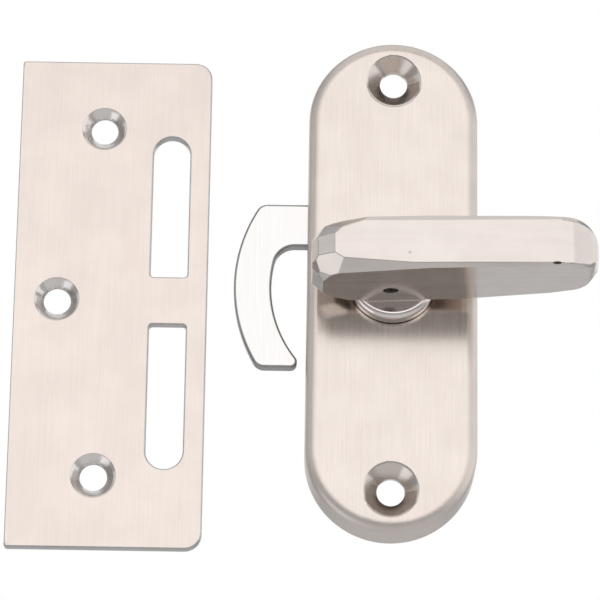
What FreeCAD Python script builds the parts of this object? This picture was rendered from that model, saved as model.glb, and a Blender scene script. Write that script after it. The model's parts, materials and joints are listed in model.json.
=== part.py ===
"""Sliding-door hook latch: a pressed case with a turn handle and a swinging hook, and its flat strike plate.

Every body is drawn lying on the door: local x runs to the right, local y up the door, and local z out of
the door towards the hand. FACING_OUT then stands it up, so that in the finished part +X is right, +Z is up
and -Y points out of the door. The origin is on the spindle's axis, in the plane where the case meets the door.
"""

import FreeCAD, Part
import os

import Sketcher

doc = FreeCAD.newDocument("hook_latch")
FACING_OUT = FreeCAD.Placement(FreeCAD.Vector(0, 0, 0), FreeCAD.Rotation(FreeCAD.Vector(1, 0, 0), 90))
NODES = []

# --- driving dimensions, in millimetres -------------------------------------------------------------------

DIMENSIONS = {
    # pressed case
    "case_length": 99.2,
    "case_width": 33.0,
    "case_depth": 10.0,
    "case_gauge": 1.2,
    "case_edge_radius": 2.0,
    "case_bend_inside": 0.8,
    "case_hole_spacing": 82.8,
    "case_hole": 5.4,
    "case_dimple": 10.6,
    "case_dimple_lip": 0.8,
    # hook and the slots that it swings through
    "hook_gauge": 3.0,
    "hook_back": 2.75,
    "hook_outer_radius": 30.7,
    "hook_throat_radius": 23.4,
    "hook_arm_top": 16.8,
    "hook_arm_underside": 8.2,
    "hook_tip_drop": 16.45,
    "hook_shoulder": 15.0,
    "hook_hub": 20.0,
    "hook_hub_core": 13.2,
    "hook_corner": 2.4,
    "hook_throat_corner": 4.0,
    "hook_tip_corner": 1.3,
    "hook_slot_clearance": 0.5,
    # spindle and its bearing
    "spindle_flange": 17.2,
    "spindle_flange_edge": 1.2,
    "spindle_journal": 9.0,
    "spindle_front_square": 6.0,
    "spindle_front_length": 10.0,
    "spindle_back_square": 6.2,
    "spindle_recess": 0.15,
    "spindle_grub_dimple": 0.8,
    "bush_barrel": 12.0,
    "bush_collar": 18.0,
    "bush_washer": 0.5,
    "cap_washer": 0.5,
    "cap_washer_outside": 14.8,
    "flange_height": 3.7,
    "running_clearance": 0.05,
    "socket_clearance": 0.05,
    # handle
    "handle_reach": 38.3,
    "handle_heel": 15.7,
    "handle_thickness": 10.6,
    "handle_depth": 20.3,
    "handle_relief": 4.8,
    "handle_relief_start": 11.0,
    "handle_heel_corner": 5.0,
    "handle_front_corner": 8.0,
    "handle_back_corner": 5.5,
    "handle_bevel": 1.1,
    "grub_hole": 3.0,
    "grub_height": 6.3,
    "grub_sink": 1.3,
    "grub_offset": -0.6,
    "grub_key": 1.5,
    # retaining screw and what it clamps
    "screw_shank": 4.0,
    "screw_head": 7.6,
    "screw_head_height": 1.3,
    "screw_length": 7.5,
    "screw_key": 2.5,
    "screw_key_depth": 0.8,
    "clamp_washer_gauge": 0.6,
    "clamp_washer_outside": 11.2,
    "disc_spring_gauge": 0.4,
    "disc_spring_rise": 0.2,
    "disc_spring_outside": 10.8,
    # back plate, its posts and screws, and the stop pin
    "plate_gauge": 1.2,
    "plate_gap": 0.15,
    "plate_eye_clearance": 2.0,
    "plate_screw_clearance": 11.2,
    "post_across": 18.0,
    "post_clearance": 1.5,
    "post_diameter": 5.0,
    "post_thread": 2.5,
    "post_thread_depth": 5.0,
    "plate_screw_head": 4.6,
    "plate_screw_length": 5.0,
    "plate_screw_slot": 0.6,
    "thread_clearance": 0.05,
    "stop_pin": 2.6,
    "stop_pin_drop": 8.4,
    "stop_clearance": 0.07,
    # strike plate and where it lies beside the case
    "strike_length": 99.2,
    "strike_width": 37.7,
    "strike_gauge": 2.5,
    "strike_gap": 19.4,
    "strike_drop": 2.3,
    "strike_round_corner": 3.3,
    "strike_square_corner": 0.6,
    "strike_slot_width": 7.2,
    "strike_slot_length": 29.0,
    "strike_slot_web": 9.7,
    "strike_slot_margin": 4.0,
    "strike_slot_corner": 0.7,
    "strike_hole": 5.3,
    "strike_countersink": 8.8,
    "strike_outer_spacing": 70.8,
    "strike_outer_inset": 21.1,
    "strike_middle_inset": 29.3,
}


def fill_sheet():
    """The spreadsheet that every body reads its sizes from."""
    sheet = doc.addObject("Spreadsheet::Sheet", "dims")
    for row, (alias, value) in enumerate(DIMENSIONS.items(), start=1):
        sheet.set(f"A{row}", alias)
        sheet.set(f"B{row}", str(value))
        sheet.setAlias(f"B{row}", alias)
    # heights above the door and other sizes that follow from their neighbours
    stack = {
        "hook_front": "hook_back + hook_gauge",
        "bush_back": "hook_front + bush_washer",
        "sheet_inside": "case_depth - case_gauge",
        "flange_back": "case_depth + cap_washer",
        "flange_front": "case_depth + flange_height",
        "handle_front": "flange_front + handle_depth",
        "grub_level": "flange_front + grub_height",
        "spindle_end": "hook_back + spindle_recess",
        "clamp_washer_back": "hook_back - clamp_washer_gauge",
        "disc_spring_back": "clamp_washer_back - disc_spring_gauge - disc_spring_rise",
        "head_back": "disc_spring_back - screw_head_height",
        "grub_tip": "spindle_front_square / 2 - spindle_grub_dimple + socket_clearance",
        "grub_length": "handle_thickness / 2 - grub_sink - grub_tip",
        "plate_eye": "screw_head + 2 * plate_eye_clearance",
        "post_reach": "hook_outer_radius + post_clearance + post_diameter / 2",
        "post_rise": "sqrt(post_reach ^ 2 - (post_across / 2) ^ 2)",
        "strike_edge": "-(case_width / 2 + strike_gap)",
    }
    for row, (alias, formula) in enumerate(stack.items(), start=len(DIMENSIONS) + 2):
        sheet.set(f"A{row}", alias)
        sheet.set(f"B{row}", "=" + formula)
        sheet.setAlias(f"B{row}", alias)
    doc.recompute()
    return sheet


sheet = fill_sheet()

# --- drawing helpers ----------------------------------------------------------------------------------------


def dims(formula):
    """The same formula with each size's name pointing at the sheet."""
    words = set(DIMENSIONS) | {sheet.getAlias(cell) for cell in sheet.getUsedCells() if sheet.getAlias(cell)}
    out, word = "", ""
    for char in formula + " ":
        if char.isalnum() or char == "_":
            word += char
            continue
        out += ("dims." + word if word in words else word) + char
        word = ""
    return out.strip()


def value(formula):
    """What a formula comes to now, as a plain number."""
    found = sheet.evalExpression(dims(formula))
    return float(getattr(found, "Value", found))


def bind(thing, **formulas):
    """Ties properties to the sheet. Two underscores in a name stand for a dot."""
    for name, formula in formulas.items():
        thing.setExpression(name.replace("__", "."), dims(formula))
    return thing


def new_body(name):
    body = doc.addObject("PartDesign::Body", name)
    body.Label = name
    body.Placement = FACING_OUT
    NODES.append(body)
    return body


def new_sketch(body, name, role="XY_Plane", lift="0"):
    """A sketch on one of the body's own planes, lifted off it along its normal."""
    sketch = body.newObject("Sketcher::SketchObject", name)
    plane = next(f for f in body.Origin.OriginFeatures if f.Role == role)
    sketch.AttachmentSupport = (plane, [""])
    sketch.MapMode = "FlatFace"
    return bind(sketch, AttachmentOffset__Base__z=lift)


def measure(sketch, kind, refs, formula):
    """A dimension of the sketch that follows a formula."""
    index = sketch.addConstraint(Sketcher.Constraint(kind, *refs, value(formula)))
    sketch.setExpression(f"Constraints[{index}]", dims(formula))


def place_point(sketch, edge, end, x, y):
    measure(sketch, "DistanceX", (-1, 1, edge, end), x)
    measure(sketch, "DistanceY", (-1, 1, edge, end), y)


def draw_polygon(sketch, corners):
    """A closed outline of straight edges, each corner at its own two formulas."""
    points = [FreeCAD.Vector(value(x), value(y), 0) for x, y in corners]
    first = sketch.GeometryCount
    for here, there in zip(points, points[1:] + points[:1]):
        sketch.addGeometry(Part.LineSegment(here, there), False)
    for i, (x, y) in enumerate(corners):
        after = first + (i + 1) % len(corners)
        sketch.addConstraint(Sketcher.Constraint("Coincident", first + i, 2, after, 1))
        place_point(sketch, first + i, 1, x, y)


def draw_circle(sketch, diameter, x="0", y="0"):
    centre = FreeCAD.Vector(value(x), value(y), 0)
    edge = sketch.addGeometry(Part.Circle(centre, FreeCAD.Vector(0, 0, 1), value(diameter) / 2), False)
    place_point(sketch, edge, 3, x, y)
    measure(sketch, "Diameter", (edge,), diameter)


def draw_obround(sketch, length, width):
    """An upright slot outline about the sketch's centre, with full round ends."""
    r = value(width) / 2
    h = value(length) / 2 - r
    up = FreeCAD.Vector(0, 0, 1)
    top = sketch.addGeometry(Part.ArcOfCircle(Part.Circle(FreeCAD.Vector(0, h, 0), up, r), 0, 3.14159265), False)
    foot = sketch.addGeometry(
        Part.ArcOfCircle(Part.Circle(FreeCAD.Vector(0, -h, 0), up, r), 3.14159265, 6.2831853), False)
    left = sketch.addGeometry(Part.LineSegment(FreeCAD.Vector(-r, h, 0), FreeCAD.Vector(-r, -h, 0)), False)
    right = sketch.addGeometry(Part.LineSegment(FreeCAD.Vector(r, -h, 0), FreeCAD.Vector(r, h, 0)), False)
    for arc, arc_end, line, line_end in ((top, 2, left, 1), (left, 2, foot, 1), (foot, 2, right, 1), (right, 2, top, 1)):
        sketch.addConstraint(Sketcher.Constraint("Tangent", arc, arc_end, line, line_end))
    place_point(sketch, top, 3, "0", f"({length} - ({width})) / 2")
    place_point(sketch, foot, 3, "0", f"-({length} - ({width})) / 2")
    measure(sketch, "Radius", (top,), f"({width}) / 2")


def pad(body, sketch, name, length):
    feature = body.newObject("PartDesign::Pad", name)
    feature.Profile = sketch
    bind(feature, Length=length)
    doc.recompute()
    return feature


def pocket(body, sketch, name, length):
    """Cuts from the sketch's plane outwards along local +z, and makes sure that something was cut."""
    before = body.Shape.Volume
    feature = body.newObject("PartDesign::Pocket", name)
    feature.Profile = sketch
    feature.Reversed = True
    bind(feature, Length=length)
    doc.recompute()
    assert body.Shape.Volume < before - 0.01, f"{name} cut nothing from {body.Label}"
    return feature


def turn(body, name, profile):
    """A turned piece: a closed profile of (radius, height) corners, spun about local z."""
    sketch = new_sketch(body, name + "_profile", "XZ_Plane")
    draw_polygon(sketch, profile)
    feature = body.newObject("PartDesign::Revolution", name)
    feature.Profile = sketch
    feature.ReferenceAxis = (sketch, ["V_Axis"])
    feature.Angle = 360
    doc.recompute()
    return feature


def tool(body, kind, name, x="0", y="0", z="0", turned=None, **sizes):
    """One of PartDesign's own solids, such as a SubtractiveCone, with its base at (x, y, z)."""
    before = body.Shape.Volume if body.Tip else 0.0
    feature = body.newObject("PartDesign::" + kind, name)
    if turned:
        feature.Placement = FreeCAD.Placement(FreeCAD.Vector(), turned)
    bind(feature, Placement__Base__x=x, Placement__Base__y=y, Placement__Base__z=z, **sizes)
    doc.recompute()
    changed = body.Shape.Volume - before
    assert changed < -0.01 if kind.startswith("Subtractive") else changed > 0.01, f"{name} changed nothing"
    return feature


def edges_where(feature, test):
    """The names of a feature's edges whose bounding box passes a test."""
    edges = enumerate(feature.Shape.Edges, start=1)
    return [f"Edge{i}" for i, edge in edges if test(edge.BoundBox)]


def round_edges(body, name, base, edges, radius, kind="Fillet"):
    assert edges, f"{name} found no edges"
    feature = body.newObject("PartDesign::" + kind, name)
    feature.Base = (base, edges)
    bind(feature, **{"Radius" if kind == "Fillet" else "Size": radius})
    doc.recompute()
    return feature


def near(a, b, slack=0.01):
    return abs(a - b) < slack


def upright_at(corners):
    """A test for edges that stand along local z at one of the (x, y) corners."""
    def test(box):
        return box.ZLength > 0.1 and any(
            near(box.XMin, x) and near(box.XMax, x) and near(box.YMin, y) and near(box.YMax, y) for x, y in corners)
    return test


def level_at(height, inside):
    """A test for edges that lie in one level, and within a half width of local y's axis."""
    def test(box):
        return near(box.ZMin, height) and near(box.ZMax, height) and box.XMax < inside and box.XMin > -inside
    return test


# --- the case ------------------------------------------------------------------------------------------------


def make_case():
    """Drawn from one sheet: a rounded rim, two pressed countersinks, and a hook slot in each side."""
    body = new_body("front_case")
    outline = new_sketch(body, "case_outline")
    draw_obround(outline, "case_length", "case_width")
    block = pad(body, outline, "case_block", "case_depth")
    rim = edges_where(block, level_at(value("case_depth"), value("case_width")))
    round_edges(body, "case_rim", block, rim, "case_edge_radius")

    hollow = new_sketch(body, "hollow_outline")
    draw_obround(hollow, "case_length - 2 * case_gauge", "case_width - 2 * case_gauge")
    cavity = pocket(body, hollow, "case_hollow", "sheet_inside")
    bend = edges_where(cavity, level_at(value("sheet_inside"), value("case_width")))
    round_edges(body, "case_bend", cavity, bend, "case_bend_inside")

    for side, name in ((1, "upper"), (-1, "lower")):
        press_dimple(body, name, f"{side} * case_hole_spacing / 2")

    tool(body, "SubtractiveCylinder", "spindle_hole", z="sheet_inside - case_gauge",
         Radius="bush_barrel / 2", Height="3 * case_gauge")

    # one box through both side walls, from under the hook's arm to where its outer edge leaves the case
    reach = "sqrt(hook_outer_radius ^ 2 - (case_width / 2 - case_gauge) ^ 2)"
    floor = "hook_arm_underside - hook_slot_clearance"
    tool(body, "SubtractiveBox", "hook_slots", x="-case_width / 2 - 1", y=floor,
         z="hook_back - hook_slot_clearance", Length="case_width + 2",
         Width=f"{reach} + hook_slot_clearance - ({floor})", Height="hook_gauge + 2 * hook_slot_clearance")
    return body


def press_dimple(body, name, y):
    """The sheet pushed in to a cone for the screw's head, with the hole at its bottom."""
    cone = "(case_dimple - case_hole) / 2"
    slant = "case_gauge * sqrt(2)"
    tool(body, "AdditiveCone", name + "_boss", y=y, z=f"sheet_inside - {cone}", Height=cone,
         Radius1=f"case_hole / 2 - case_gauge + {slant}", Radius2=f"case_dimple / 2 - case_gauge + {slant}")
    tool(body, "SubtractiveCone", name + "_cone", y=y, z=f"case_depth - {cone}", Height=cone,
         Radius1="case_hole / 2", Radius2="case_dimple / 2")
    hole = tool(body, "SubtractiveCylinder", name + "_hole", y=y, z="0", Radius="case_hole / 2", Height="case_depth")
    middle = value(y)
    lip = edges_where(hole, lambda box: near(box.ZMax, value("case_depth")) and near(box.YMax + box.YMin, 2 * middle)
                      and near(box.XLength, value("case_dimple"), 0.2))
    round_edges(body, name + "_lip", hole, lip, "case_dimple_lip")


# --- the moving hook -----------------------------------------------------------------------------------------


def make_hook():
    """Blanked from flat bar: a hub, an arm above the spindle, and a hook whose two edges share its centre."""
    body = new_body("hook")
    outline = new_sketch(body, "hook_outline", lift="hook_back")
    draw_hook(outline)
    blank = pad(body, outline, "hook_blank", "hook_gauge")

    # the hub is cut away over a quarter turn for the stop pin, down to a round core
    wall = "stop_pin / 2 + stop_clearance"
    tool(body, "SubtractiveBox", "stop_notch", x=f"-({wall})", y="-hook_hub", z="hook_back",
         Length="hook_hub", Width=f"hook_hub + {wall}", Height="hook_gauge")
    tool(body, "AdditiveCylinder", "hub_core", z="hook_back", Radius="hook_hub_core / 2", Height="hook_gauge")
    side = "spindle_back_square + 2 * socket_clearance"
    bored = tool(body, "SubtractiveBox", "square_bore", x=f"-({side}) / 2", y=f"-({side}) / 2", z="hook_back",
                 Length=side, Width=side, Height="hook_gauge")

    outer, throat = value("hook_outer_radius"), value("hook_throat_radius")
    top, under, tip = value("hook_arm_top"), value("hook_arm_underside"), value("hook_tip_drop")
    groups = (
        ("outer_corners", "hook_corner", [(-(outer**2 - top**2) ** 0.5, top), (-(outer**2 - tip**2) ** 0.5, -tip)]),
        ("throat_corner", "hook_throat_corner", [(-(throat**2 - under**2) ** 0.5, under)]),
        ("tip_corner", "hook_tip_corner", [(-(throat**2 - tip**2) ** 0.5, -tip)]),
    )
    for name, radius, corners in groups:
        bored = round_edges(body, name, bored, edges_where(bored, upright_at(corners)), radius)
    return body


def draw_hook(sketch):
    """Three arcs about the spindle, joined by three level edges and one that is tangent to the hub."""
    up, centre = FreeCAD.Vector(0, 0, 1), FreeCAD.Vector(0, 0, 0)
    outer, throat, hub = value("hook_outer_radius"), value("hook_throat_radius"), value("hook_hub / 2")
    top, under, tip = value("hook_arm_top"), value("hook_arm_underside"), value("hook_tip_drop")
    shoulder = FreeCAD.Vector(-value("hook_shoulder"), top, 0)

    def on(radius, height):
        return FreeCAD.Vector(-(radius**2 - height**2) ** 0.5, height, 0)

    def arc(radius, start, end):
        circle = Part.Circle(centre, up, radius)
        return sketch.addGeometry(Part.ArcOfCircle(circle, circle.parameter(start), circle.parameter(end)), False)

    def line(start, end):
        return sketch.addGeometry(Part.LineSegment(start, end), False)

    lean = FreeCAD.Vector(shoulder).normalize()
    across = up.cross(lean)
    fraction = hub / shoulder.Length
    touch = lean * (hub * fraction) - across * (hub * (1 - fraction**2) ** 0.5)
    back = arc(outer, on(outer, top), on(outer, -tip))
    foot = line(on(outer, -tip), on(throat, -tip))
    mouth = arc(throat, on(throat, under), on(throat, -tip))
    below = line(on(throat, under), on(hub, under))
    round_hub = arc(hub, on(hub, under), touch)
    slope = line(touch, shoulder)
    above = line(shoulder, on(outer, top))

    joins = ((back, 2, foot, 1), (foot, 2, mouth, 2), (mouth, 1, below, 1), (below, 2, round_hub, 1),
             (slope, 2, above, 1), (above, 2, back, 1))
    for a, a_end, b, b_end in joins:
        sketch.addConstraint(Sketcher.Constraint("Coincident", a, a_end, b, b_end))
    sketch.addConstraint(Sketcher.Constraint("Tangent", round_hub, 2, slope, 1))
    for edge, radius in ((back, "hook_outer_radius"), (mouth, "hook_throat_radius"), (round_hub, "hook_hub / 2")):
        sketch.addConstraint(Sketcher.Constraint("Coincident", edge, 3, -1, 1))
        measure(sketch, "Radius", (edge,), radius)
    for edge in (foot, below, above):
        sketch.addConstraint(Sketcher.Constraint("Horizontal", edge))
    measure(sketch, "DistanceY", (-1, 1, foot, 1), "-hook_tip_drop")
    measure(sketch, "DistanceY", (-1, 1, below, 1), "hook_arm_underside")
    measure(sketch, "DistanceY", (-1, 1, above, 1), "hook_arm_top")
    measure(sketch, "DistanceX", (-1, 1, above, 1), "-hook_shoulder")


# --- spindle, bearing and what clamps the hook ---------------------------------------------------------------


def make_spindle():
    """Turned from round bar: squares for the handle and the hook, a journal, and the flange that shows."""
    body = new_body("spindle")
    r, edge = "spindle_flange / 2", "spindle_flange_edge"
    turn(body, "journal_and_flange", [
        ("0", "hook_front"), ("spindle_journal / 2", "hook_front"), ("spindle_journal / 2", "flange_back"),
        (r, "flange_back"), (r, "flange_front"), ("0", "flange_front")])
    flange = body.Tip
    front = value("flange_front")
    lip = edges_where(flange, lambda box: near(box.ZMax, front) and near(box.ZMin, front) and box.XLength > 1)
    round_edges(body, "flange_edge", flange, lip, edge)
    for name, side, z, length in (
        ("handle_square", "spindle_front_square", "flange_front", "spindle_front_length"),
        ("hook_square", "spindle_back_square", "spindle_end", "hook_front - spindle_end"),
    ):
        tool(body, "AdditiveBox", name, x=f"-{side} / 2", y=f"-{side} / 2", z=z, Length=side, Width=side, Height=length)
    tool(body, "SubtractiveCylinder", "tapped_hole", z="spindle_end", Radius="screw_shank / 2",
         Height="head_back + screw_head_height + screw_length + 1 - spindle_end")
    tool(body, "SubtractiveCylinder", "grub_dimple", x="grub_offset",
         y="-spindle_front_square / 2 + spindle_grub_dimple", z="grub_level",
         turned=FreeCAD.Rotation(FreeCAD.Vector(1, 0, 0), 90),
         Radius="grub_hole / 2 + socket_clearance", Height="spindle_front_square")
    return body


def make_bearing():
    """The bush in the case, the two plain washers beside it, and the disc spring that holds the handle's place."""
    bore = "spindle_journal / 2 + running_clearance"
    collar = "bush_collar / 2"
    barrel = "bush_barrel / 2"
    bodies = {
        "bearing_bush": [(bore, "bush_back"), (collar, "bush_back"), (collar, "sheet_inside"),
                         (barrel, "sheet_inside"), (barrel, "case_depth"), (bore, "case_depth")],
        "inner_washer": ring(bore, collar, "hook_front", "bush_back"),
        "front_washer": ring(bore, "cap_washer_outside / 2", "case_depth", "flange_back"),
        "clamp_washer": ring("screw_shank / 2 + running_clearance", "clamp_washer_outside / 2",
                             "clamp_washer_back", "hook_back"),
    }
    eye, outside = "screw_shank / 2 + 2 * running_clearance", "disc_spring_outside / 2"
    bodies["disc_spring"] = [
        (eye, "disc_spring_back"), (outside, "disc_spring_back + disc_spring_rise"),
        (outside, "clamp_washer_back"), (eye, "clamp_washer_back - disc_spring_rise")]
    for name, profile in bodies.items():
        turn(new_body(name), name + "_turned", profile)


def ring(inside, outside, back, front):
    return [(inside, back), (outside, back), (outside, front), (inside, front)]


def make_retaining_screw():
    """A low-headed socket screw up the spindle's back end."""
    body = new_body("retaining_screw")
    shank = "screw_shank / 2 - thread_clearance"
    seat = "head_back + screw_head_height"
    turn(body, "screw_turned", [
        ("0", "head_back"), ("screw_head / 2", "head_back"), ("screw_head / 2", seat),
        (shank, seat), (shank, f"{seat} + screw_length"), ("0", f"{seat} + screw_length")])
    tool(body, "SubtractivePrism", "hexagon", z="head_back", Circumradius="screw_key / sqrt(3)", Height="screw_key_depth")
    return body


# --- the handle ----------------------------------------------------------------------------------------------


def make_handle():
    """A deep bar that stands on edge over the spindle, rounded at both ends and bevelled all round."""
    body = new_body("handle")
    side = new_sketch(body, "handle_side", "XZ_Plane")
    draw_polygon(side, [
        ("-handle_heel", "flange_front"), ("handle_relief_start", "flange_front"),
        ("handle_reach", "flange_front + handle_relief"), ("handle_reach", "handle_front"),
        ("-handle_heel", "handle_front")])
    bar = body.newObject("PartDesign::Pad", "handle_bar")
    bar.Profile = side
    bar.Midplane = True
    bind(bar, Length="handle_thickness")
    doc.recompute()

    heel, reach = -value("handle_heel"), value("handle_reach")
    back, tail, front = value("flange_front"), value("flange_front + handle_relief"), value("handle_front")
    corners = (("heel_corners", "handle_heel_corner", [(heel, back), (heel, front)]),
               ("front_corner", "handle_front_corner", [(reach, front)]),
               ("back_corner", "handle_back_corner", [(reach, tail)]))
    for name, radius, places in corners:
        edges = edges_where(bar, lambda box: box.YLength > 1 and any(
            near(box.XMin, x) and near(box.XMax, x) and near(box.ZMin, z) for x, z in places))
        bar = round_edges(body, name, bar, edges, radius)
    half = value("handle_thickness / 2")
    rims = edges_where(bar, lambda box: near(box.YLength, 0) and near(abs(box.YMax), half))
    round_edges(body, "bevel", bar, rims, "handle_bevel", "Chamfer")

    square = "spindle_front_square + 2 * socket_clearance"
    tool(body, "SubtractiveBox", "square_socket", x=f"-({square}) / 2", y=f"-({square}) / 2", z="flange_front",
         Length=square, Width=square, Height="spindle_front_length + 0.5")
    tool(body, "SubtractiveCylinder", "grub_hole", x="grub_offset", z="grub_level",
         turned=FreeCAD.Rotation(FreeCAD.Vector(1, 0, 0), 90), Radius="grub_hole / 2", Height="handle_thickness")
    return body


def make_grub_screw():
    """Headless set screw, driven up from the handle's underside into the spindle's dimple."""
    body = new_body("grub_screw")
    upwards = FreeCAD.Rotation(FreeCAD.Vector(1, 0, 0), -90)
    place = {"x": "grub_offset", "y": "-grub_tip - grub_length", "z": "grub_level"}
    tool(body, "AdditiveCylinder", "grub_thread", turned=upwards, **place,
         Radius="grub_hole / 2 - thread_clearance", Height="grub_length")
    tool(body, "SubtractivePrism", "grub_hexagon", turned=upwards, **place,
         Circumradius="grub_key / sqrt(3)", Height="grub_length / 2")
    return body


# --- back plate ----------------------------------------------------------------------------------------------


def make_back_plate():
    """A flat plate let into the back of the case: it shuts the hook in and carries the stop pin."""
    body = new_body("back_plate")
    outline = new_sketch(body, "plate_outline")
    inset = "2 * (case_gauge + plate_gap)"
    draw_obround(outline, f"case_length - {inset}", f"case_width - {inset}")
    pad(body, outline, "plate_blank", "plate_gauge")
    holes = new_sketch(body, "plate_holes")
    draw_circle(holes, "plate_eye")
    draw_circle(holes, "plate_screw_clearance", y="case_hole_spacing / 2")
    draw_circle(holes, "plate_screw_clearance", y="-case_hole_spacing / 2")
    draw_circle(holes, "stop_pin", y="-stop_pin_drop")
    pocket(body, holes, "plate_openings", "plate_gauge")
    for name, x, y in post_places():
        tool(body, "SubtractiveCone", name + "_seat", x=x, y=y, Height="plate_gauge",
             Radius1="plate_screw_head / 2", Radius2="post_thread / 2")
    return body


def post_places():
    """Name and local x and y of each of the four posts."""
    for rise, row in ((1, "upper"), (-1, "lower")):
        for side, column in ((-1, "left"), (1, "right")):
            yield f"{row}_{column}", f"{side} * post_across / 2", f"{rise} * post_rise"


def make_posts_and_screws():
    """Tapped posts that stand the back plate off the sheet, and the slotted screws that hold it."""
    for name, x, y in post_places():
        post = new_body("post_" + name)
        tool(post, "AdditiveCylinder", "post", x=x, y=y, z="plate_gauge",
             Radius="post_diameter / 2", Height="sheet_inside - plate_gauge")
        tool(post, "SubtractiveCylinder", "post_tapping", x=x, y=y, z="plate_gauge",
             Radius="post_thread / 2", Height="post_thread_depth")

        screw = new_body("plate_screw_" + name)
        shank = "post_thread / 2 - thread_clearance"
        tool(screw, "AdditiveCone", "screw_head", x=x, y=y, Height="plate_gauge",
             Radius1="plate_screw_head / 2 - thread_clearance", Radius2=shank)
        tool(screw, "AdditiveCylinder", "screw_thread", x=x, y=y, Radius=shank, Height="plate_screw_length")
        tool(screw, "SubtractiveBox", "screw_slot", x=f"{x} - plate_screw_head / 2",
             y=f"{y} - plate_screw_slot / 2", z="-plate_screw_slot", Length="plate_screw_head",
             Width="plate_screw_slot", Height="2 * plate_screw_slot")


def make_stop_pin():
    """Pressed into the back plate under the spindle: the hub's notch meets it at each end of the quarter turn."""
    body = new_body("stop_pin")
    tool(body, "AdditiveCylinder", "pin", y="-stop_pin_drop", Radius="stop_pin / 2",
         Height="hook_front - hook_slot_clearance")
    return body


# --- strike plate --------------------------------------------------------------------------------------------


def make_strike():
    """Flat plate for the door frame: two slots for the hook, so that it suits either hand, and three screw holes."""
    body = new_body("strike_plate")
    right, left = "strike_edge", "strike_edge - strike_width"
    top, foot = "strike_length / 2 - strike_drop", "-strike_length / 2 - strike_drop"
    outline = new_sketch(body, "strike_outline")
    draw_polygon(outline, [(left, foot), (right, foot), (right, top), (left, top)])
    plate = pad(body, outline, "strike_blank", "strike_gauge")

    groups = (("free_corners", right, "strike_round_corner"), ("wall_corners", left, "strike_square_corner"))
    for name, x, radius in groups:
        places = [(value(x), value(top)), (value(x), value(foot))]
        plate = round_edges(body, name, plate, edges_where(plate, upright_at(places)), radius)
    for side, name in ((1, "upper"), (-1, "lower")):
        cut_keeper_slot(body, name, side)

    holes = (("top_screw", "strike_outer_inset", "strike_outer_spacing / 2"),
             ("middle_screw", "strike_middle_inset", "0"),
             ("bottom_screw", "strike_outer_inset", "-strike_outer_spacing / 2"))
    cone = "(strike_countersink - strike_hole) / 2"
    for name, inset, y in holes:
        place = {"x": f"strike_edge - {inset}", "y": f"{y} - strike_drop"}
        tool(body, "SubtractiveCylinder", name, Radius="strike_hole / 2", Height="strike_gauge", **place)
        tool(body, "SubtractiveCone", name + "_sink", z=f"strike_gauge - {cone}", Height=cone,
             Radius1="strike_hole / 2", Radius2="strike_countersink / 2", **place)
    return body


def cut_keeper_slot(body, name, side):
    """One slot: square at the web in the middle of the plate, and full round at its far end."""
    right = "strike_edge - strike_slot_margin"
    left = f"{right} - strike_slot_width"
    near_end = f"{side} * strike_slot_web / 2 - strike_drop"
    spring = f"{side} * (strike_slot_web / 2 + strike_slot_length - strike_slot_width / 2) - strike_drop"
    shaft = new_sketch(body, name + "_slot_shaft")
    draw_polygon(shaft, [(left, near_end), (right, near_end), (right, spring), (left, spring)])
    cut = pocket(body, shaft, name + "_slot", "strike_gauge")
    places = [(value(left), value(near_end)), (value(right), value(near_end))]
    round_edges(body, name + "_slot_corners", cut, edges_where(cut, upright_at(places)), "strike_slot_corner")
    tool(body, "SubtractiveCylinder", name + "_slot_end", x=f"{right} - strike_slot_width / 2", y=spring,
         Radius="strike_slot_width / 2", Height="strike_gauge")


# --- build and export ----------------------------------------------------------------------------------------

make_case()
make_back_plate()
make_posts_and_screws()
make_stop_pin()
make_hook()
make_spindle()
make_bearing()
make_retaining_screw()
make_handle()
make_grub_screw()
make_strike()
doc.recompute()

for thing in doc.Objects:
    assert not {"Invalid", "Error"} & set(thing.State), f"{thing.Label} failed: {thing.State}"
for node in NODES:
    assert not node.Shape.isNull() and node.Shape.isValid(), f"{node.Label} has no sound shape"

os.makedirs("parts", exist_ok=True)
for node in NODES:
    node.Shape.exportStep(f"parts/{node.Label}.step")
    box = node.Shape.BoundBox
    print(f"{node.Label:26s} {len(node.Shape.Solids)} solid {node.Shape.Volume:9.1f} mm3"
          f"  x {box.XMin:7.2f} {box.XMax:7.2f}  y {box.YMin:7.2f} {box.YMax:7.2f}  z {box.ZMin:7.2f} {box.ZMax:7.2f}")
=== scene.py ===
import json
import math

import bmesh
import bpy
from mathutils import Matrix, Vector

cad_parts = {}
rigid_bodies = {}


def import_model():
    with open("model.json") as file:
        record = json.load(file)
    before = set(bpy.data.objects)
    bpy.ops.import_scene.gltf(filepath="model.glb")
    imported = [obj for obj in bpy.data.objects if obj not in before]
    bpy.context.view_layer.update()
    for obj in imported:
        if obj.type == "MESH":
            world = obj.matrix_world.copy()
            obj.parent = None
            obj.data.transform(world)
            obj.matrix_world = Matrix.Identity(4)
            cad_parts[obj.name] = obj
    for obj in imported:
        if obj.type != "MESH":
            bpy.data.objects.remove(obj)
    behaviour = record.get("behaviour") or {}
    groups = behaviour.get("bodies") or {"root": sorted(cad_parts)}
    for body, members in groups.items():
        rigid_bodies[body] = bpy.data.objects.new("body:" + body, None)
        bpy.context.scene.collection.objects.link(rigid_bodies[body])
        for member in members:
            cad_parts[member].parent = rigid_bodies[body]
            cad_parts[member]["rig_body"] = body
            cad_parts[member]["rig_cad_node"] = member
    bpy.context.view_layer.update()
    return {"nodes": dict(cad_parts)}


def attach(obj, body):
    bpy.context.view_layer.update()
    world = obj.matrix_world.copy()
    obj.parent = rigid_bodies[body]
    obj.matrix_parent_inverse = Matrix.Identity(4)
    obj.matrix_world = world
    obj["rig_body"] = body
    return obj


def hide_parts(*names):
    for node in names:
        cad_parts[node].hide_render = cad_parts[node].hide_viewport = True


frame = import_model()
nodes = frame["nodes"]
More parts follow.
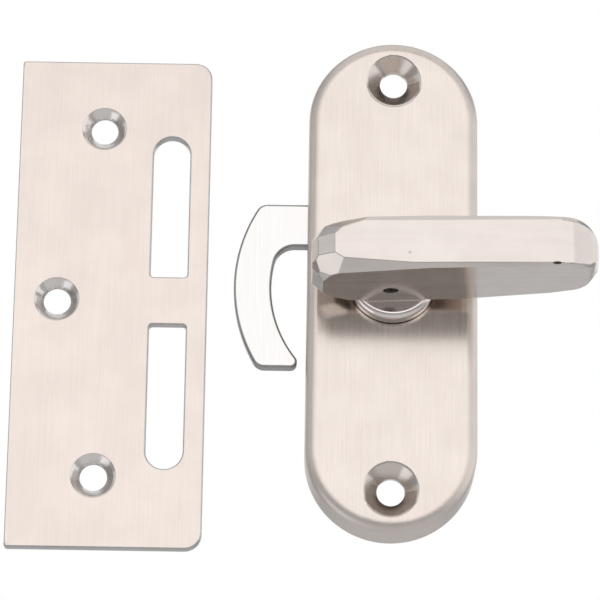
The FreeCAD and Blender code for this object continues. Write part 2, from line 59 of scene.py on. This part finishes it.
bpy.ops.object.select_all(action="DESELECT")


# --- room, camera and light ---------------------------------------------------------------------------------
# A pale floor well below the work and big soft panels round it, as for catalogue shots of polished steel.
# What lies between the panels is grey, so that rounded edges read darker than the flat faces.


def paint_plain(piece, name, shade, roughness):
    """One flat grey for a piece of the room."""
    paint = bpy.data.materials.new(name)
    paint.use_nodes = True
    shader = paint.node_tree.nodes["Principled BSDF"]
    shader.inputs["Base Color"].default_value = (shade, shade, shade, 1)
    shader.inputs["Roughness"].default_value = roughness
    piece.data.materials.append(paint)


bpy.ops.mesh.primitive_plane_add(size=6.0, location=(0, 0, -1.15))
floor = bpy.context.object
floor.name = "floor"
paint_plain(floor, "pale_floor", shade=0.86, roughness=0.9)

lens = bpy.data.cameras.new("camera")
lens.lens = 204.3                           # a long lens, so that the work is seen almost without perspective
camera = bpy.data.objects.new("camera", lens)
bpy.context.collection.objects.link(camera)
camera.location = (-0.01779, -0.63556, -0.20138)
camera.rotation_mode = "ZYX"
camera.rotation_euler = (math.radians(90 + 17.5), 0, math.radians(0.9))     # looks up at the work a little

scene = bpy.context.scene
scene.camera = camera
scene.view_settings.view_transform = "Standard"
scene.view_settings.look = "None"

room = bpy.data.worlds.new("grey_room")
scene.world = room
room.use_nodes = True
room_tree = room.node_tree
room_tree.nodes.clear()
room_out = room_tree.nodes.new("ShaderNodeOutputWorld")
room_pick = room_tree.nodes.new("ShaderNodeMixShader")
room_ray = room_tree.nodes.new("ShaderNodeLightPath")
room_white = room_tree.nodes.new("ShaderNodeBackground")        # what is seen behind the work
room_white.inputs["Color"].default_value = (1, 1, 1, 1)
room_grey = room_tree.nodes.new("ShaderNodeBackground")         # what the steel mirrors between the panels
room_grey.inputs["Color"].default_value = (0.39, 0.397, 0.407, 1)
room_tree.links.new(room_ray.outputs["Is Camera Ray"], room_pick.inputs[0])
room_tree.links.new(room_grey.outputs[0], room_pick.inputs[1])
room_tree.links.new(room_white.outputs[0], room_pick.inputs[2])
room_tree.links.new(room_pick.outputs[0], room_out.inputs["Surface"])


def hang_panel(name, width, height, place, glow, colour=(0.96, 0.98, 1.0)):
    """A soft panel that faces the work, with its brightness per unit of its own area."""
    panel = bpy.data.lights.new(name, "AREA")
    panel.shape = "RECTANGLE"
    panel.size, panel.size_y = width, height
    panel.energy = glow * math.pi * width * height
    panel.color = colour
    held = bpy.data.objects.new(name, panel)
    bpy.context.collection.objects.link(held)
    held.location = place
    held.rotation_euler = (-Vector(place)).to_track_quat("-Z", "Y").to_euler()
    held.visible_camera = False


hang_panel("front_panel", 2.3, 1.25, (0.0, -1.55, 0.29), 0.90, (1, 1, 1))
hang_panel("overhead_panel", 2.2, 2.3, (0.1, -0.25, 1.5), 0.52)
hang_panel("right_panel", 2.6, 1.5, (1.5, -0.35, 0.1), 0.72)
hang_panel("low_left_panel", 0.9, 0.9, (-0.95, -0.1, -0.95), 0.60)
hang_panel("left_panel", 1.2, 1.0, (-1.5, -0.5, 0.5), 0.42)
hang_panel("back_panel", 6.0, 1.2, (0.0, 1.7, 0.70), 0.66)
hang_panel("low_back_panel", 2.4, 0.9, (0.0, 1.6, -0.62), 0.24)

# a dark card low in front, out of the camera's sight: it gives the undersides something dark to mirror
bpy.ops.mesh.primitive_plane_add(size=1, location=(0, -1.45, -0.47))
card = bpy.context.object
card.name = "dark_card"
card.scale = (2.6, 0.50, 1)
card.rotation_euler = (math.radians(74), 0, 0)
card.visible_camera = False
paint_plain(card, "dark_card", shade=0.33, roughness=1.0)


# --- the pressed case ---------------------------------------------------------------------------------------
# Deep-drawn from one stainless sheet, so its rim is a soft bend and its two screw seats are pressed in. The
# front is linished up and down in long fine strokes, which differ a little in shade and in gloss. The rim is
# not linished, so it is duller.


def brush_steel(name, colour, roughness, strokes=(3000, 3000, 75), depth=0.05, mottle=0.030, cloud=0.05):
    """Steel with a grain. Strokes is how finely the grain is cut along x, y and z, depth how deep it is,
    mottle how much its shade varies, and cloud how much darker the hazy patches are."""
    gloss_spread = 0.06
    grain_height = 0.0002
    steel = bpy.data.materials.new(name)
    steel.use_nodes = True
    tree = steel.node_tree
    shader = tree.nodes["Principled BSDF"]
    shader.inputs["Metallic"].default_value = 1.0
    place = tree.nodes.new("ShaderNodeTexCoord")
    comb = tree.nodes.new("ShaderNodeMapping")
    comb.inputs["Scale"].default_value = strokes
    tree.links.new(place.outputs["Object"], comb.inputs["Vector"])
    grain = tree.nodes.new("ShaderNodeTexNoise")
    grain.inputs["Scale"].default_value = 1.0
    grain.inputs["Detail"].default_value = 5.0
    grain.inputs["Roughness"].default_value = 0.65
    tree.links.new(comb.outputs["Vector"], grain.inputs["Vector"])
    haze = tree.nodes.new("ShaderNodeTexNoise")
    haze.inputs["Scale"].default_value = 130
    haze.inputs["Detail"].default_value = 4.0
    tree.links.new(place.outputs["Object"], haze.inputs["Vector"])

    shade = tree.nodes.new("ShaderNodeValToRGB")
    shade.color_ramp.elements[0].position = 0.3
    shade.color_ramp.elements[0].color = [c * (1 - 2.2 * mottle) for c in colour] + [1]
    shade.color_ramp.elements[1].position = 0.7
    shade.color_ramp.elements[1].color = [min(1, c * (1 + mottle)) for c in colour] + [1]
    tree.links.new(grain.outputs["Fac"], shade.inputs["Fac"])
    blotch = tree.nodes.new("ShaderNodeValToRGB")
    blotch.color_ramp.elements[0].position = 0.35
    blotch.color_ramp.elements[0].color = (1 - cloud, 1 - 1.1 * cloud, 1 - 1.1 * cloud, 1)
    blotch.color_ramp.elements[1].position = 0.65
    blotch.color_ramp.elements[1].color = (1, 1, 1, 1)
    tree.links.new(haze.outputs["Fac"], blotch.inputs["Fac"])
    tint = tree.nodes.new("ShaderNodeMixRGB")
    tint.blend_type = "MULTIPLY"
    tint.inputs["Fac"].default_value = 1.0
    tree.links.new(shade.outputs["Color"], tint.inputs["Color1"])
    tree.links.new(blotch.outputs["Color"], tint.inputs["Color2"])
    tree.links.new(tint.outputs["Color"], shader.inputs["Base Color"])

    gloss = tree.nodes.new("ShaderNodeMapRange")
    gloss.inputs["To Min"].default_value = roughness - gloss_spread
    gloss.inputs["To Max"].default_value = roughness + gloss_spread
    tree.links.new(grain.outputs["Fac"], gloss.inputs["Value"])
    tree.links.new(gloss.outputs["Result"], shader.inputs["Roughness"])
    bump = tree.nodes.new("ShaderNodeBump")
    bump.inputs["Strength"].default_value = depth
    bump.inputs["Distance"].default_value = grain_height
    tree.links.new(grain.outputs["Fac"], bump.inputs["Height"])
    tree.links.new(bump.outputs["Normal"], shader.inputs["Normal"])
    return steel


def finish_node(material, *names):
    """Gives one finish to pieces that show their own plain shape."""
    for name in names:
        nodes[name].data.materials.clear()
        nodes[name].data.materials.append(material)


case_steel = brush_steel("case_steel", (0.725, 0.648, 0.593), 0.20)
case_half_straight = 0.0331         # above and below this height the case is round
case_rim_start, case_rim_end = 0.0142, 0.0150       # how far the rim is from the case's middle line
case_rim_dulling = 0.24

case_tree = case_steel.node_tree
case_place = case_tree.nodes.new("ShaderNodeTexCoord")
case_spot = case_tree.nodes.new("ShaderNodeSeparateXYZ")
case_height = case_tree.nodes.new("ShaderNodeMath")
case_height.operation = "ABSOLUTE"
case_past_straight = case_tree.nodes.new("ShaderNodeMath")
case_past_straight.operation = "SUBTRACT"
case_past_straight.use_clamp = True
case_past_straight.inputs[1].default_value = case_half_straight
case_arm = case_tree.nodes.new("ShaderNodeCombineXYZ")
case_reach = case_tree.nodes.new("ShaderNodeVectorMath")
case_reach.operation = "LENGTH"
case_rim = case_tree.nodes.new("ShaderNodeMapRange")
case_rim.inputs["From Min"].default_value = case_rim_start
case_rim.inputs["From Max"].default_value = case_rim_end
case_rim.inputs["To Max"].default_value = case_rim_dulling
case_gloss = case_tree.nodes.new("ShaderNodeMath")
case_shader = case_tree.nodes["Principled BSDF"]
brushed_gloss = case_shader.inputs["Roughness"].links[0].from_socket
for start, end in (
    (case_place.outputs["Object"], case_spot.inputs[0]),
    (case_spot.outputs["Z"], case_height.inputs[0]),
    (case_height.outputs[0], case_past_straight.inputs[0]),
    (case_spot.outputs["X"], case_arm.inputs["X"]),
    (case_past_straight.outputs[0], case_arm.inputs["Z"]),
    (case_arm.outputs[0], case_reach.inputs[0]),
    (case_reach.outputs["Value"], case_rim.inputs["Value"]),
    (case_rim.outputs[0], case_gloss.inputs[0]),
    (brushed_gloss, case_gloss.inputs[1]),
    (case_gloss.outputs[0], case_shader.inputs["Roughness"]),
):
    case_tree.links.new(start, end)
finish_node(case_steel, "front_case")


# --- back plate, posts and screws ---------------------------------------------------------------------------
# A flat stainless plate let into the back of the case, left as it came from the mill. Four tapped posts stand
# behind the case's front, and countersunk slotted screws draw the plate to them. The stop pin is pressed in.

mill_steel = brush_steel("mill_steel", (0.56, 0.54, 0.52), 0.38, strokes=(60, 900, 900), depth=0.08)
finish_node(mill_steel, "back_plate", *[n for n in nodes if n.startswith("post_")])
bright_steel = brush_steel("bright_steel", (0.60, 0.60, 0.61), 0.22, strokes=(500, 500, 500), depth=0.02)
finish_node(bright_steel, "stop_pin", *[n for n in nodes if n.startswith("plate_screw_")])


# --- bearing ------------------------------------------------------------------------------------------------
# A turned brass bush runs the spindle, between a nylon washer behind it and one in front, under the flange.

brass = brush_steel("turned_brass", (0.80, 0.58, 0.27), 0.28, strokes=(90, 2500, 90), mottle=0.04)
finish_node(brass, "bearing_bush")

nylon = bpy.data.materials.new("natural_nylon")
nylon.use_nodes = True
nylon_tree = nylon.node_tree
milky = nylon_tree.nodes["Principled BSDF"]
milky.inputs["Roughness"].default_value = 0.5
milky.inputs["Subsurface Weight"].default_value = 0.15
milky.inputs["Subsurface Radius"].default_value = (0.001, 0.0008, 0.0006)
flecks = nylon_tree.nodes.new("ShaderNodeTexNoise")
flecks.inputs["Scale"].default_value = 700
bone = nylon_tree.nodes.new("ShaderNodeValToRGB")
bone.color_ramp.elements[0].color = (0.72, 0.70, 0.64, 1)
bone.color_ramp.elements[1].color = (0.82, 0.81, 0.77, 1)
nylon_place = nylon_tree.nodes.new("ShaderNodeTexCoord")
nylon_tree.links.new(nylon_place.outputs["Object"], flecks.inputs["Vector"])
nylon_tree.links.new(flecks.outputs["Fac"], bone.inputs["Fac"])
nylon_tree.links.new(bone.outputs["Color"], milky.inputs["Base Color"])
finish_node(nylon, "inner_washer", "front_washer")


# --- spindle ------------------------------------------------------------------------------------------------
# Turned from stainless bar and polished on the lathe, so that the rounded rim of its flange is a bright line.

spindle_steel = brush_steel("spindle_steel", (0.84, 0.77, 0.73), 0.16, strokes=(90, 1500, 90), depth=0.02,
                            mottle=0.03)
finish_node(spindle_steel, "spindle")


# --- hook ---------------------------------------------------------------------------------------------------
# Blanked from 3 mm stainless, then tumbled, so its face is smooth and its edges are just broken.


flat_within = math.radians(0.5)         # faces this nearly level with each other are one flat


def take_copy(node, name):
    """A copy of a node's own shape, with its triangles joined up so that its edges can be worked."""
    piece = nodes[node].copy()
    piece.data = nodes[node].data.copy()
    piece.name = name
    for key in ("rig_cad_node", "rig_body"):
        del piece[key]
    piece.parent = None
    bpy.context.collection.objects.link(piece)
    bpy.ops.object.select_all(action="DESELECT")
    piece.select_set(True)
    bpy.context.view_layer.objects.active = piece
    bpy.ops.object.mode_set(mode="EDIT")
    bpy.ops.mesh.select_all(action="SELECT")
    bpy.ops.mesh.customdata_custom_splitnormals_clear()
    bpy.ops.mesh.remove_doubles(threshold=0.000002)
    bpy.ops.mesh.dissolve_limited(angle_limit=flat_within)
    bpy.ops.object.mode_set(mode="OBJECT")
    piece.data.materials.clear()
    return piece


def ease_edges(piece, width, sharper_than=30, segments=3, where=lambda middle: True):
    """Rounds the edges that are sharper than an angle in degrees and lie where a test in millimetres says."""
    bpy.ops.object.mode_set(mode="EDIT")
    bpy.ops.mesh.select_all(action="DESELECT")
    bpy.ops.mesh.select_mode(type="EDGE")
    work = bmesh.from_edit_mesh(piece.data)
    for edge in work.edges:
        middle = (edge.verts[0].co + edge.verts[1].co) / 2 * 1000
        if edge.calc_face_angle(0) > math.radians(sharper_than) and where(middle):
            edge.select_set(True)
    bmesh.update_edit_mesh(piece.data)
    bpy.ops.mesh.bevel(offset=width / 1000, segments=segments, affect="EDGES", clamp_overlap=False)
    bpy.ops.object.mode_set(mode="OBJECT")


def shade_flats(piece, angle=50):
    """Smooth over the rounded edges, while every flat keeps its own facing."""
    bpy.ops.object.shade_smooth_by_angle(angle=math.radians(angle))
    flats = piece.modifiers.new("flats", "WEIGHTED_NORMAL")
    flats.keep_sharp = True
    flats.weight = 100
    bpy.ops.object.modifier_apply(modifier="flats")


def finish_faces(piece, material, low, high):
    """Puts another finish on the faces whose slope to the front, as a cosine, lies between two limits."""
    piece.data.materials.append(material)
    bpy.ops.object.mode_set(mode="EDIT")
    bpy.ops.mesh.select_mode(type="FACE")
    bpy.ops.mesh.select_all(action="DESELECT")
    work = bmesh.from_edit_mesh(piece.data)
    for face in work.faces:
        face.select_set(low < abs(face.normal.y) < high)
    bmesh.update_edit_mesh(piece.data)
    piece.active_material_index = len(piece.data.materials) - 1
    bpy.ops.object.material_slot_assign()
    bpy.ops.object.mode_set(mode="OBJECT")


hook_steel = brush_steel("hook_steel", (0.785, 0.765, 0.745), 0.14, depth=0.02, mottle=0.02, cloud=0.02)
hook_blade = take_copy("hook", "hook_blade")
ease_edges(hook_blade, 0.45, sharper_than=50, segments=2)
shade_flats(hook_blade)
hook_blade.data.materials.append(hook_steel)
cut_steel = brush_steel("cut_steel", (0.40, 0.385, 0.37), 0.36, strokes=(1500, 60, 1500), depth=0.15)
not_front = (-1, 0.95)                  # every face that is turned away from the front
finish_faces(hook_blade, cut_steel, *not_front)
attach(hook_blade, "turning_set")
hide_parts("hook")


# --- what clamps the hook -----------------------------------------------------------------------------------
# A plain washer, a disc spring of dark hardened steel, and a low socket screw up the spindle's back end. The
# handle's grub screw gets the spring's dark colour too, as painted shade deep down its hole.

finish_node(bright_steel, "clamp_washer", "retaining_screw")
spring_steel = brush_steel("spring_steel", (0.20, 0.20, 0.22), 0.30, strokes=(300, 300, 300), depth=0.03)
# the disc spring is dark hardened steel; on the grub screw the same dark colour is painted shade for the
# inside of its hole
finish_node(spring_steel, "disc_spring", "grub_screw")


# --- handle -------------------------------------------------------------------------------------------------
# A cast stainless bar that stands on edge. It is ground on a belt: bevels run all round the front, the heel
# is left in flats and the free end is worked round. A grub screw holds it on the spindle.

handle_steel = brush_steel("handle_steel", (0.71, 0.645, 0.60), 0.21, strokes=(40, 700, 700), depth=0.015,
                           mottle=0.02)

bpy.ops.object.select_all(action="DESELECT")
bpy.ops.mesh.primitive_cube_add(size=1, location=(0.0113, -0.02385, 0.0002))
handle_bar = bpy.context.object
handle_bar.name = "handle_bar"
handle_bar.data.materials.append(handle_steel)
handle_bar.scale = (0.054, 0.0203, 0.0108)          # the bar's length, depth and thickness
bpy.ops.object.transform_apply(location=True, rotation=True, scale=True)
bpy.ops.object.mode_set(mode="EDIT")


def grind_flat(point, facing):
    """Takes off everything that stands proud of a plane through a point, given in millimetres."""
    bpy.ops.mesh.select_all(action="SELECT")
    bpy.ops.mesh.bisect(plane_co=[v / 1000 for v in point], plane_no=facing, use_fill=True, clear_outer=True,
                        threshold=0.000001)


def grind_corner(centre, across, deep, level, side_ball, end_ball, turns, tilts):
    """Works a corner round, in millimetres and degrees: flats at each turn about an upright axis, and tilted
    ones above or below. Across and deep are the corner's reach from its centre, level is how high its face
    stands, and the ball is how round it is seen from the front, at the long side and at the very end."""
    for turn in turns:
        s, c = math.sin(math.radians(turn)), math.cos(math.radians(turn))
        ball = side_ball + (end_ball - side_ball) * (1 - abs(c))
        for tilt in tilts:
            up, out = math.sin(math.radians(tilt)), math.cos(math.radians(tilt))
            over = 1 if tilt > 0 else -1
            point = (centre[0] + (across - ball) * s + ball * s * out,
                     centre[1] - (deep - ball) * c - ball * c * out,
                     over * (level - ball) + ball * up if tilt else 0)
            grind_flat(point, (s * out, -c * out, up))


front, back = -34, -13.7                # where the bar's faces lie
thickest = 7                            # and how far from the spindle it is thickest
grind_flat((thickest, 0, 5.50), (0.006, 0, 1))          # the top falls a little towards both ends
grind_flat((thickest, 0, 5.50), (-0.025, 0, 1))
grind_flat((thickest, back, -5.05), (0.014, -0.008, -1))        # the underside rises towards the free end
grind_flat((11, back, 0), (0.176, 1, 0))                # and the back falls away from the case
grind_flat((thickest, front, 4.40), (0, -1, 1))         # long bevels, front
grind_flat((thickest, front, -4.05), (0, -1, -1.05))
grind_flat((3, front, -4.05), (-0.075, -0.643, -1))     # the lower one opens out over the heel
grind_flat((0, back, 4.9), (0, 1, 1))                   # and back
grind_flat((0, back, -4.7), (0, 1, -1))

# free end: the front corner, above and below, then the back corner
grind_corner((30.5, -27.0), across=7.8, deep=7.0, level=5.2, side_ball=1.2, end_ball=5.0,
             turns=range(7, 91, 7), tilts=range(0, 76, 12))
grind_corner((30.5, -27.0), across=7.8, deep=7.0, level=4.6, side_ball=0.6, end_ball=3.8,
             turns=range(7, 91, 7), tilts=range(-72, 0, 12))
grind_corner((31.0, -22.2), across=7.3, deep=4.6, level=5.2, side_ball=1.2, end_ball=5.0,
             turns=range(98, 160, 12), tilts=range(0, 76, 15))
grind_corner((31.0, -22.2), across=7.3, deep=4.6, level=4.6, side_ball=0.6, end_ball=3.8,
             turns=range(98, 160, 12), tilts=range(-60, 0, 20))

# heel: fewer, plainer flats
grind_corner((-9.3, -27.6), across=6.4, deep=6.4, level=5.3, side_ball=5.0, end_ball=5.0,
             turns=(-36, -68), tilts=(0, 34, 60))
grind_flat((-9.6, front, -3.17), (-0.439, -0.564, -0.698))      # one wide flat takes off its lower corner
grind_corner((-9.3, -27.6), across=6.4, deep=6.4, level=5.2, side_ball=4.0, end_ball=4.0,
             turns=(-68,), tilts=(-36, -62))
grind_corner((-9.3, -20.0), across=6.4, deep=6.3, level=5.3, side_ball=5.0, end_ball=5.0,
             turns=(-90, -115, -145), tilts=(0, 34, 60))
grind_corner((-9.3, -20.0), across=6.4, deep=6.3, level=5.2, side_ball=3.4, end_ball=3.4,
             turns=(-90, -115, -145), tilts=(-45,))
grind_flat((-8.6, front, 3.5), (-0.30, -0.62, 0.9))     # and one more eases the top

slack = math.radians(1.0)               # how far the handle lies over in its fit on the spindle
bpy.ops.mesh.select_all(action="SELECT")
bpy.ops.transform.rotate(value=slack, orient_axis="Y", center_override=(0, 0, 0))
bpy.ops.mesh.remove_doubles(threshold=0.00002)
bpy.ops.mesh.convex_hull(use_existing_faces=False)      # the ground bar is convex, so this seals it
bpy.ops.mesh.select_all(action="SELECT")
bpy.ops.mesh.dissolve_limited(angle_limit=flat_within)
bpy.ops.object.mode_set(mode="OBJECT")
# the free end is left out, since its many small flats are round enough
ease_edges(handle_bar, 0.18, sharper_than=17, segments=2, where=lambda middle: middle.x < 30)


def bore(piece, cutter):
    """Cuts one solid out of another, and clears the cutter away."""
    bpy.ops.object.transform_apply(location=True, rotation=True, scale=True)
    cut = piece.modifiers.new("bore", "BOOLEAN")
    cut.operation = "DIFFERENCE"
    cut.solver = "EXACT"
    cut.material_mode = "TRANSFER"
    cut.object = cutter
    bpy.ops.object.select_all(action="DESELECT")
    piece.select_set(True)
    bpy.context.view_layer.objects.active = piece
    bpy.ops.object.modifier_apply(modifier="bore")
    bpy.data.objects.remove(cutter)


# the square socket for the spindle, and the tapped hole for the grub screw
bpy.ops.mesh.primitive_cube_add(size=1, location=(0, -0.0184, 0), scale=(0.0061, 0.0106, 0.0061))
bore(handle_bar, bpy.context.object)
bpy.ops.mesh.primitive_cylinder_add(vertices=40, radius=0.0015, depth=0.006,
                                    location=(-0.0006, -0.020, -0.0055))
bore(handle_bar, bpy.context.object)

# a near-black, rough lining for the pit at the free end's edge
dark_pit_lining = bpy.data.materials.new("dark_pit_lining")
dark_pit_lining.use_nodes = True
pit_lining_tree = dark_pit_lining.node_tree
pit_lining_shader = pit_lining_tree.nodes["Principled BSDF"]
pit_lining_shader.inputs["Roughness"].default_value = 0.8
pit_lining_fleck = pit_lining_tree.nodes.new("ShaderNodeTexNoise")
pit_lining_fleck.inputs["Scale"].default_value = 4000
pit_lining_tone = pit_lining_tree.nodes.new("ShaderNodeValToRGB")
pit_lining_tone.color_ramp.elements[0].color = (0.020, 0.017, 0.015, 1)
pit_lining_tone.color_ramp.elements[1].color = (0.085, 0.070, 0.060, 1)
pit_lining_place = pit_lining_tree.nodes.new("ShaderNodeTexCoord")
pit_lining_tree.links.new(pit_lining_place.outputs["Object"], pit_lining_fleck.inputs["Vector"])
pit_lining_tree.links.new(pit_lining_fleck.outputs["Fac"], pit_lining_tone.inputs["Fac"])
pit_lining_tree.links.new(pit_lining_tone.outputs["Color"], pit_lining_shader.inputs["Base Color"])

# two pits are left from its casting: one at the free end's edge with a near-black lining, and a shallow one
# in the front in the handle's own steel
for place, size, lining in (((0.0300, -0.0340, -0.0037), (0.0019, 0.0007, 0.0007), dark_pit_lining),
                            ((0.0025, -0.0340, -0.0021), (0.0006, 0.00016, 0.0005), handle_steel)):
    bpy.ops.mesh.primitive_ico_sphere_add(subdivisions=2, radius=0.5, location=place, scale=size)
    bpy.context.object.data.materials.append(lining)
    bore(handle_bar, bpy.context.object)
shade_flats(handle_bar, 40)

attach(handle_bar, "turning_set")
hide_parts("handle")


# --- strike plate -------------------------------------------------------------------------------------------
# Sheared and pierced from 2.5 mm stainless and linished on its face, which eases every edge a little; the
# screw seats are cut last, so their rims stay crisp.

strike_steel = brush_steel("strike_steel", (0.79, 0.695, 0.635), 0.32)
strike_flat = take_copy("strike_plate", "strike_flat")
ease_edges(strike_flat, 0.3, sharper_than=60, segments=2)           # outline and slots
ease_edges(strike_flat, 0.06, sharper_than=40, segments=2)          # rims of the screw seats
shade_flats(strike_flat)
strike_flat.data.materials.append(strike_steel)
sheared_steel = brush_steel("sheared_steel", (0.56, 0.54, 0.52), 0.36, strokes=(1500, 60, 1500), depth=0.15)
finish_faces(strike_flat, sheared_steel, *not_front)
seat_steel = brush_steel("seat_steel", (0.80, 0.755, 0.72), 0.20, strokes=(900, 900, 900), depth=0.02,
                         mottle=0.02)
screw_seats = (0.69, 0.72)              # countersunk at 45 degrees
finish_faces(strike_flat, seat_steel, *screw_seats)
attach(strike_flat, "strike")
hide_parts("strike_plate")
